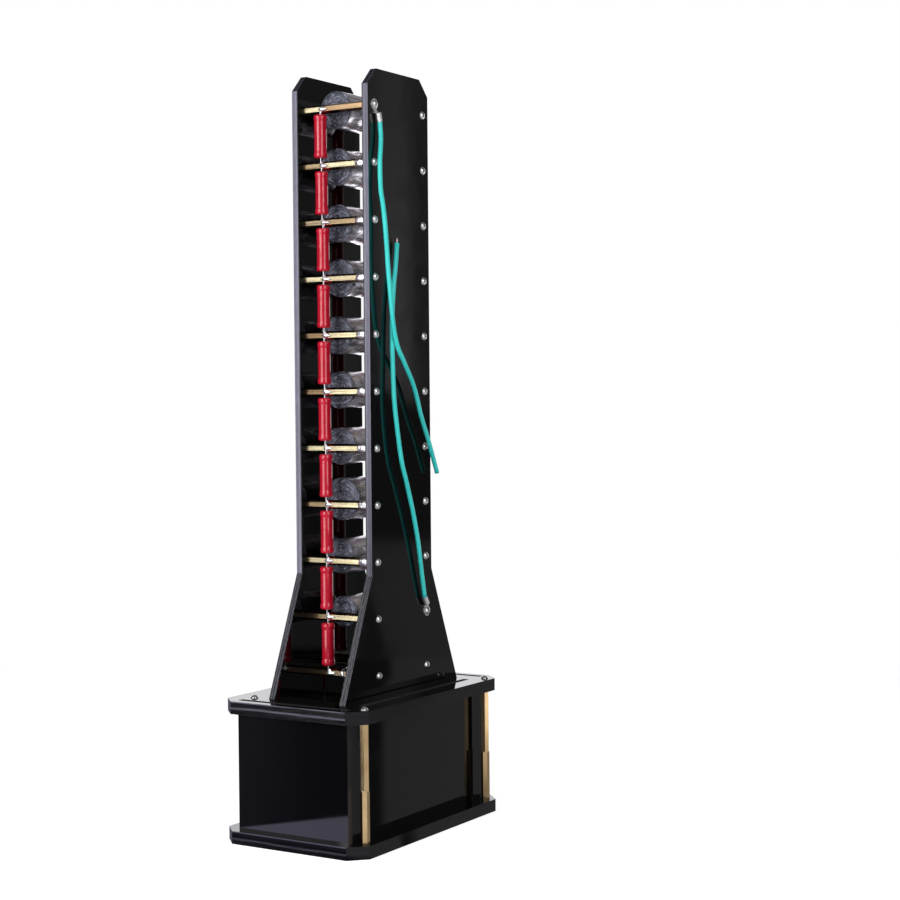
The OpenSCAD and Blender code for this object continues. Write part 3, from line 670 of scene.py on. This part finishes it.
# For the next ones: name, two colours, roughness from and to, grain, depth of the grain.
NICKEL = bright_metal("nickelled screw",
                      (0.84, 0.83, 0.82), (0.70, 0.69, 0.69), 0.28, 0.4, 700.0, 0.00004)
TIN = bright_metal("tinned wire",
                   (0.82, 0.82, 0.84), (0.6, 0.6, 0.63), 0.22, 0.38, 900.0, 0.00004)
LUG_TIN = bright_metal("tinned lug",
                       (0.95, 0.95, 0.95), (0.84, 0.83, 0.82), 0.45, 0.6, 500.0, 0.00006)
SOLDER = bright_metal("bright solder",
                      (0.95, 0.95, 0.97), (0.80, 0.80, 0.85), 0.3, 0.46, 620.0, 0.0002)
COPPER = bright_metal("tinned strands",
                      (0.88, 0.80, 0.76), (0.72, 0.48, 0.38), 0.3, 0.45, 900.0, 0.00003)
LACQUER = crimson_lacquer()
FILM = capacitor_film()
TURQUOISE = soft_plastic("turquoise insulation",
                         (0.045, 0.72, 0.68), (0.028, 0.64, 0.60), 0.34, 0.44, 1400.0, 0.00003)
CASE = soft_plastic("black moulded case",
                    (0.02, 0.02, 0.022), (0.03, 0.03, 0.033), 0.42, 0.55, 1100.0, 0.0001)
RESIN = soft_plastic("black potting resin",
                     (0.012, 0.012, 0.014), (0.02, 0.02, 0.023), 0.1, 0.2, 120.0, 0.0002)
TERMINAL = soft_plastic("green terminal plastic",
                        (0.02, 0.20, 0.07), (0.015, 0.15, 0.05), 0.35, 0.48, 900.0, 0.00005)
RED_WIRE = soft_plastic("red silicone insulation",
                        (0.50, 0.02, 0.015), (0.38, 0.012, 0.01), 0.4, 0.5, 900.0, 0.00004)

for look, names in (
        (PLATE, ("base_plate", "top_plate")),
        (PANEL, ("left_panel", "right_panel")),
        (WALL_Y, ("front_wall", "rear_wall")),
        (WALL_X, ("side_wall",)),
        (ROD_BRASS, ("front_rods", "rear_rods")),
        (POST_BRASS, ("lower_posts", "upper_posts")),
        (NICKEL, ("base_screws", "top_plate_screws", "left_panel_screws", "right_panel_screws")),
        (TIN, ("capacitor_leads", "resistor_leads", "spark_electrodes", "supply_wire_ends")),
        (LUG_TIN, ("upper_ring_lug", "lower_ring_lug")),
        (CASE, ("supply_case",)),
        (RESIN, ("supply_potting",)),
        (TERMINAL, ("supply_terminal",)),
        (RED_WIRE, ("supply_wires",))):
    for name in names:
        dress(nodes[name], look)
dress(upper_lead, TURQUOISE)
dress(lower_lead, TURQUOISE)
dress(strands, COPPER)


# Capacitors
def capacitor_mesh(k, top_r):
    """A hand-wound roll: not quite round, with a tape edge that stands past its ends."""
    rnd = random.Random(70 + k)
    waves = [(n, rnd.uniform(0, 6.28), rnd.uniform(0.08, 0.34) / n ** 0.7) for n in (2, 3, 5, 7)]
    half = CAP_LEN / 2
    taper = rnd.uniform(-0.25, 0.25)

    def wobble(r, h, a):
        if r < 1:
            return r
        out = sum(w * math.sin(n * a + p + 0.03 * h * n) for n, p, w in waves)
        place = Vector((2.2 * math.cos(a), 0.11 * h + 9 * k, 2.2 * math.sin(a)))
        crumple = 0.34 * noise.noise(place)
        dent = 0.5 * max(0.0, math.sin(a - 1.1)) ** 6 * noise.noise(Vector((0.13 * h, k, 3.7)))
        return (r - 0.5 + taper * h / half * 0.5) + (out + crumple + dent) * r / top_r

    core = top_r - CAP_WRAP
    # Radius and depth from the tape's edge: wound film ends, tape rim, first bit of the side.
    rim = [(0.6, 0.3), (3.0, 0.1), (6.0, 0.22), (8.5, 0.08), (core - 1.0, 0.3),
        (core - 0.2, 0.55), (core, 0.8), (core + 0.12, 0.05), (top_r - 0.3, 0.0),
        (top_r - 0.05, 0.25), (top_r, 0.9)]
    steps, edge = 18, 0.9
    body = [(top_r, -half + edge + (CAP_LEN - 2 * edge) * i / steps) for i in range(1, steps)]
    front = [(r, -half + depth) for r, depth in rim]
    back = [(r, -h) for r, h in reversed(front)]
    shape = Shape()
    shape.lathe(front + body + back, "Y", 96, wobble)
    return shape


for k, (wider, shift, lift) in enumerate(CAP_FIT, 1):
    roll = piece("wound_capacitor_%02d" % k, capacitor_mesh(k, CAP_R + wider / 2))
    roll.matrix_world = Matrix.Translation(
        mm(TOWER_X + CAP_X + shift, (FRONT_Y + REAR_Y) / 2, level_z(k) + CAP_LIFT + lift))
    dress(roll, FILM)
    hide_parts("capacitor_%02d" % k)


# Resistors
def resistor_mesh():
    """A lacquered body with a rounded cap at each end and a slight waist between them."""
    # Radius and distance from the end.
    cap = [(0.4, 0), (2.6, 0), (3.7, 0.12), (4.35, 0.45), (4.7, 1.0), (4.8, 1.7), (4.8, 2.7),
        (4.75, 3.3), (4.6, 3.9), (4.45, 4.4), (4.4, 4.85), (4.44, 5.5)]
    low = [(r, h - RES_LEN / 2) for r, h in cap]
    high = [(r, -h) for r, h in reversed(low)]
    shape = Shape()
    shape.lathe(low + high, "Z", 40)
    return shape


for row, y, side in (("front", FRONT_Y, -1), ("rear", REAR_Y, 1)):
    for k in range(1, LEVELS):
        body = piece("lacquered_%s_resistor_%02d" % (row, k), resistor_mesh())
        body.matrix_world = Matrix.Translation(
            mm(TOWER_X + RES_X + RES_SHIFT[k - 1], y + side * RES_OUT,
               level_z(k) - PITCH / 2 + RES_RISE))
        dress(body, LACQUER)
        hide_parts("%s_resistor_%02d" % (row, k))


# Solder
SKIN_RINGS = 9
SKIN_SIDES = 30
LUMP_RINGS = 15
LUMP_SIDES = 22


def hex_radius(a):
    """Distance from a rod's axis to its surface, with a flat towards the front."""
    t = (math.degrees(a) + 30) % 60 - 30
    return ROD_FLAT / math.cos(math.radians(t))


def solder_skin(shape, x0, x1, y, z, thick, rnd):
    """A thin wetted skin of solder round the rod."""
    rows = []
    seed = rnd.uniform(0, 100)
    sunk = 0.06
    for i in range(SKIN_RINGS):
        u = i / (SKIN_RINGS - 1)
        swell = math.sin(math.pi * u) ** 0.6 if 0 < i < SKIN_RINGS - 1 else 0.0
        row = []
        for j in range(SKIN_SIDES):
            a = 2 * math.pi * j / SKIN_SIDES
            ragged = 0.8 * noise.noise(Vector((math.cos(a), math.sin(a), seed + 5 * (u > 0.5))))
            x = x0 + (x1 - x0) * u + ragged * (1 if u > 0.5 else -1) * abs(2 * u - 1)
            place = Vector((x * 0.6, 1.6 * math.cos(a), seed + math.sin(a)))
            t = thick * (1 + 0.9 * noise.noise(place))
            r = hex_radius(a + math.pi / 2) - sunk + (t + sunk) * swell
            row.append((x, y + r * math.sin(a), z + r * math.cos(a)))
        rows.append(row)
    shape.grid(rows)


def solder_lump(shape, centre, radii, lobes, rnd):
    """A frozen drop: a rounded lump that draws out along each lead or rod it wets.
    Each lobe has a direction, a reach and how tight it is."""
    seed = Vector((rnd.uniform(0, 50), rnd.uniform(0, 50), 0))
    rows = []
    for i in range(LUMP_RINGS):
        tilt = math.pi * i / (LUMP_RINGS - 1)
        row = []
        for j in range(LUMP_SIDES):
            turn = 2 * math.pi * j / LUMP_SIDES
            d = Vector((math.sin(tilt) * math.cos(turn), math.sin(tilt) * math.sin(turn),
                        math.cos(tilt)))
            r = 1 + 0.22 * noise.noise(d * 1.7 + seed)
            p = Vector((d.x * radii[0], d.y * radii[1], d.z * radii[2])) * r
            for way, reach, tight in lobes:
                p += Vector(way) * reach * math.exp(-tight * (1 - d.dot(Vector(way))))
            row.append(tuple(Vector(centre) + p))
        if i in (0, LUMP_RINGS - 1):
            row = ring(Vector(row[0]), Vector((1, 0, 0)), Vector((0, 1, 0)), 0.02, LUMP_SIDES)
        rows.append(row)
    shape.grid(rows)


def resistor_joint(shape, k, side, y, rnd):
    """The joint on a rod's outer flat, where one or two resistors' leads end."""
    above = TOWER_X + RES_X + RES_SHIFT[max(k - 2, 0)]
    below = TOWER_X + RES_X + RES_SHIFT[min(k - 1, LEVELS - 2)]
    x = (above + below) / 2
    lobes = [((1, 0, 0), rnd.uniform(2.2, 3.8), rnd.uniform(3, 6)),
        ((-1, 0, 0), rnd.uniform(0.2, 0.9), 6),
        ((0.5, 0, 0.86), rnd.uniform(0, 0.2), 9),
        ((0.5, 0, -0.86), rnd.uniform(0, 0.2), 9)]
    if k > 1:
        lobes.append((((above - x) / 3, 0, 1), rnd.uniform(0.9, 1.7), 16))
    if k < LEVELS:
        lobes.append((((below - x) / 3, 0, -1), rnd.uniform(0.7, 1.4), 16))
    radii = (rnd.uniform(1.7, 2.2), 1.1, rnd.uniform(1.5, 1.95))
    solder_lump(shape, (x + 0.8, y + side * (RES_OUT - 0.1), level_z(k)), radii, lobes, rnd)


def capacitor_joint(shape, k, side, y, rnd):
    """The joint on a rod's inner flat, where a capacitor's lead ends."""
    place = (TOWER_X + CAP_X, y - side * ROD_FLAT, level_z(k) + CAP_LIFT * 0.6)
    solder_lump(shape, place, (1.4, 0.9, 1.3), [((0, -side, 0), 1.1, 9), ((1, 0, 0), 0.5, 5)], rnd)


def electrode_joint(shape, k, side, y, rnd):
    """The wetted rod round a spark electrode, with a lump at its back and one outside."""
    x, z = TOWER_X + GAP_X, level_z(k)
    solder_skin(shape, x - 3.0, x + 5.0, y, z, 0.5, rnd)
    inner = (x, y - side * ROD_FLAT, z)
    solder_lump(shape, inner, (2.2, 1.1, 2.2), [((0, -side, 0), 1.8, 10)], rnd)
    outer = (x + rnd.uniform(0.8, 1.6), y + side * 2.2, z + rnd.uniform(-0.2, 0.4))
    lobes = [((-1, 0, 0), rnd.uniform(0.8, 2.0), 6),
        ((0.3, 0, 0.95), rnd.uniform(0.2, 1.0), 8),
        ((0.6, 0, -0.8), rnd.uniform(0.2, 0.9), 8)]
    solder_lump(shape, outer, (3.0, 1.3, 2.4), lobes, rnd)


def feed_joint(shape, side, y, rnd):
    """The joint of a supply wire on one of the lowest rods."""
    x, z = TOWER_X + FEED_X, level_z(LEVELS)
    solder_skin(shape, x - 1.3, x + 1.3, y, z, 0.3, rnd)
    place = (x, y - side * RES_OUT, z)
    solder_lump(shape, place, (1.3, 1.0, 1.5), [((0, 0, -1), 1.2, 12)], rnd)


def solder_work():
    """All solder as one piece, from the top level down."""
    rnd = random.Random(11)
    shape = Shape()
    for k in range(1, LEVELS + 1):
        for side, y in ((-1, FRONT_Y), (1, REAR_Y)):
            resistor_joint(shape, k, side, y, rnd)
            if k < LEVELS:
                capacitor_joint(shape, k, side, y, rnd)
            if (1 if side < 0 else 0) < k < LEVELS:
                electrode_joint(shape, k, side, y, rnd)
            if k == LEVELS:
                feed_joint(shape, side, y, rnd)
    solder = piece("hand_made_solder", shape)
    dress(solder, SOLDER)
    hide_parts("solder_joints")


solder_work()


# Studio
def mix_shader(tree, share, a, b):
    return put(tree, "MixShader", {0: share, 1: a, 2: b}).outputs[0]


def background(tree, colour, strength):
    return put(tree, "Background", {"Color": (*colour, 1), "Strength": strength}).outputs[0]


def studio_back(t, turn, high):
    """The studio's dim back, which the right panel mirrors: upright bands of unequal height
    over a dark foot, all set for the view from the camera's side."""
    dim = ramp(t, high, 0.06, 0.02, 0.08, 0.13)
    for start, end, beyond in ((144.55, 144.75, ramp(t, high, 0.14, 0.07, 0.07, 0.18)),
            (145.45, 145.65, ramp(t, high, 0.03, 0.09, 0.09, 0.19)),
            (146.15, 146.35, ramp(t, high, 0.17, 0.05, 0.24, 0.39)),
            (147.14, 147.26, 0.09)):
        dim = blend(t, ramp(t, turn, start, end), dim, beyond)
    dim = blend(t, ramp(t, high, 0.182, 0.192), dim, 0.08)
    sinking = times(t, larger(t, minus(t, turn, 146.1), 0.0), 0.011)
    dim = blend(t, ramp(t, plus(t, high, sinking), 0.006, 0.012), 0.02, dim)
    slant = plus(t, turn, times(t, plus(t, high, 0.1219), 17.0))
    shade = ramp(t, turn, 145.7, 145.3, 0.02, 0.09)
    foot = blend(t, ramp(t, slant, 146.04, 146.16), shade, 0.15)
    return blend(t, ramp(t, high, -0.074, -0.080), dim, foot)


def studio_world():
    """White behind the object for the camera; a dimmer, uneven studio for reflections."""
    w = bpy.data.worlds.new("studio")
    bpy.context.scene.world = w
    w.use_nodes = True
    t = w.node_tree
    t.nodes.clear()
    x, y, high = split(t, put(t, "TexCoord").outputs["Generated"])
    # Degrees from the front towards +X.
    turn = times(t, maths(t, "ARCTAN2", x, times(t, y, -1.0)), 180 / math.pi)
    back = plus(t, studio_back(t, turn, high), ramp(t, turn, 152, 172, 0, 1.3))
    back = times(t, back, ramp(t, turn, 120, 135))
    left = ramp(t, turn, -112, -128, 0, 1.5)
    glow = times(t, plus(t, back, left), ramp(t, high, 0.46, 0.24))
    rear = larger(t, ramp(t, turn, 148, 156), ramp(t, turn, -100, -120))
    over = ramp(t, high, 0.2, 0.5, 0, 0.2)
    under = ramp(t, high, -0.17, -0.25, 0, 1.2)
    glow = plus(t, glow, times(t, rear, plus(t, over, under)))
    front = band(t, turn, -32, -8, 80, 100)
    pane = times(t, band(t, turn, -48, -46, -26, -24), band(t, high, 0.185, 0.195, 0.25, 0.27))
    glow = plus(t, glow, times(t, front, 0.14), times(t, pane, 1.3), 0.03)
    path = put(t, "LightPath").outputs
    soft = background(t, (1, 1, 1), 0.22)
    shiny = background(t, (0.98, 0.965, 1.0), glow)
    white = background(t, (1, 1, 1), 1.0)
    unseen = mix_shader(t, path["Is Glossy Ray"], soft, shiny)
    seen = larger(t, path["Is Camera Ray"], path["Is Transmission Ray"])
    t.links.new(mix_shader(t, seen, unseen, white), put(t, "OutputWorld").inputs[0])


def floor_glow(t, x, y, beyond):
    """How bright each place of the floor is in the object's glossy faces, set for
    the view from the camera's side."""
    # A bright sheet in front, and light that fades along the base box's side.
    sheet = ramp(t, plus(t, times(t, x, 0.82), times(t, y, 0.57)), -0.136, -0.130)
    near = ramp(t, y, -0.114, -0.118)
    along_wall = minus(t, x, times(t, plus(t, y, 0.092), 0.727))
    glow = plus(t, times(t, sheet, near, 1.16), ramp(t, along_wall, -0.065, 0.030, 0.14, 0.04))
    # Grey past the base's right side, with two paler patches.
    patch = times(t, ramp(t, x, 0.36, 0.42), ramp(t, y, 0.0, 0.04))
    ahead = band(t, y, -0.27, -0.24, -0.17, -0.14)
    grey = plus(t, times(t, patch, 0.8), times(t, ahead, 0.18), 0.45)
    glow = blend(t, beyond, glow, grey)
    # Dim close beside the object, with a dark stripe that runs away from it.
    start_x, start_y = 0.0463, -0.046
    away_x, away_y = 0.555, 0.832
    x_off, y_off = minus(t, x, start_x), minus(t, y, start_y)
    sideways = minus(t, times(t, x_off, away_y), times(t, y_off, away_x))
    along = plus(t, times(t, x_off, away_x), times(t, y_off, away_y))
    near_side = plus(t, sideways, ramp(t, along, 0.55, 0.78, 0, 0.03))
    far_side = minus(t, sideways, times(t, along, 0.03))
    stripe = times(t, ramp(t, near_side, -0.004, 0.006), ramp(t, far_side, 0.0115, 0.0085))
    beside = ramp(t, stripe, 0, 1, 0.21, 0.04, smooth=False)
    past = minus(t, plus(t, y, 0.10), minus(t, x, (BASE_SIDE - 2) * SCALE))
    return blend(t, times(t, beyond, ramp(t, past, -0.003, 0.003)), glow, beside)


def studio_floor():
    """A pale round floor, which shows other light to the camera than to reflections."""
    sides, radius = 96, 900
    rim = ring(Vector((0, 0, 0)), Vector((1, 0, 0)), Vector((0, 1, 0)), radius, sides)
    mesh = bpy.data.meshes.new("pale_floor")
    mesh.from_pydata([mm(*p) for p in rim], [], [tuple(range(sides))])
    floor = bpy.data.objects.new("pale_floor", mesh)
    bpy.context.scene.collection.objects.link(floor)
    floor.location = mm(0, 0, -0.2)
    m = bpy.data.materials.new("pale floor")
    m.use_nodes = True
    t = m.node_tree
    t.nodes.clear()
    place = put(t, "TexCoord").outputs["Object"]
    x, y, _ = split(t, place)
    beyond = ramp(t, x, (BASE_SIDE - 2) * SCALE, (BASE_SIDE + 2) * SCALE)
    tone = mix_colour(t, grain(t, place, 40.0, 3.0), (0.86, 0.86, 0.87), (0.89, 0.89, 0.9))
    matt = put(t, "BsdfDiffuse", {"Color": tone}).outputs[0]
    lit = put(t, "Emission", {"Color": (1, 1, 1, 1), "Strength": 0.72}).outputs[0]
    pale = put(t, "AddShader", {0: matt, 1: lit}).outputs[0]
    tint = mix_colour(t, beyond, (0.95, 0.93, 1.28), (1.0, 0.96, 1.02))
    glow = floor_glow(t, x, y, beyond)
    mirrored = put(t, "Emission", {"Color": tint, "Strength": glow}).outputs[0]
    path = put(t, "LightPath").outputs
    direct = mix_shader(t, path["Is Camera Ray"], matt, pale)
    both = mix_shader(t, path["Is Glossy Ray"], direct, mirrored)
    t.links.new(both, put(t, "OutputMaterial").inputs[0])
    mesh.materials.append(m)


LAMP_AWAY = 1.2
LAMP_AIM = Vector((0, 0, 0.3))


def soft_box(name, azimuth, height, width, tall, power):
    """A soft box that faces the object, at an angle from the front towards +X."""
    data = bpy.data.lights.new(name, "AREA")
    data.shape = "RECTANGLE"
    data.size = width
    data.size_y = tall
    data.energy = power
    lamp = bpy.data.objects.new(name, data)
    bpy.context.scene.collection.objects.link(lamp)
    a = math.radians(azimuth)
    place = Vector((math.sin(a) * LAMP_AWAY, -math.cos(a) * LAMP_AWAY, height))
    facing = (LAMP_AIM - place).to_track_quat("-Z", "Y").to_matrix().to_4x4()
    lamp.matrix_world = Matrix.Translation(place) @ facing
    lamp.visible_camera = False


studio_world()
studio_floor()
soft_box("left_soft_box_top", -13, 0.76, 0.8, 0.56, 7.0)
soft_box("left_soft_box_foot", -13, 0.22, 0.8, 0.52, 4.6)
soft_box("left_fill", -37, 0.49, 0.22, 1.1, 0.2)
soft_box("right_soft_box", 60, 0.72, 0.58, 1.25, 7.0)

bpy.context.scene.view_settings.view_transform = "Standard"
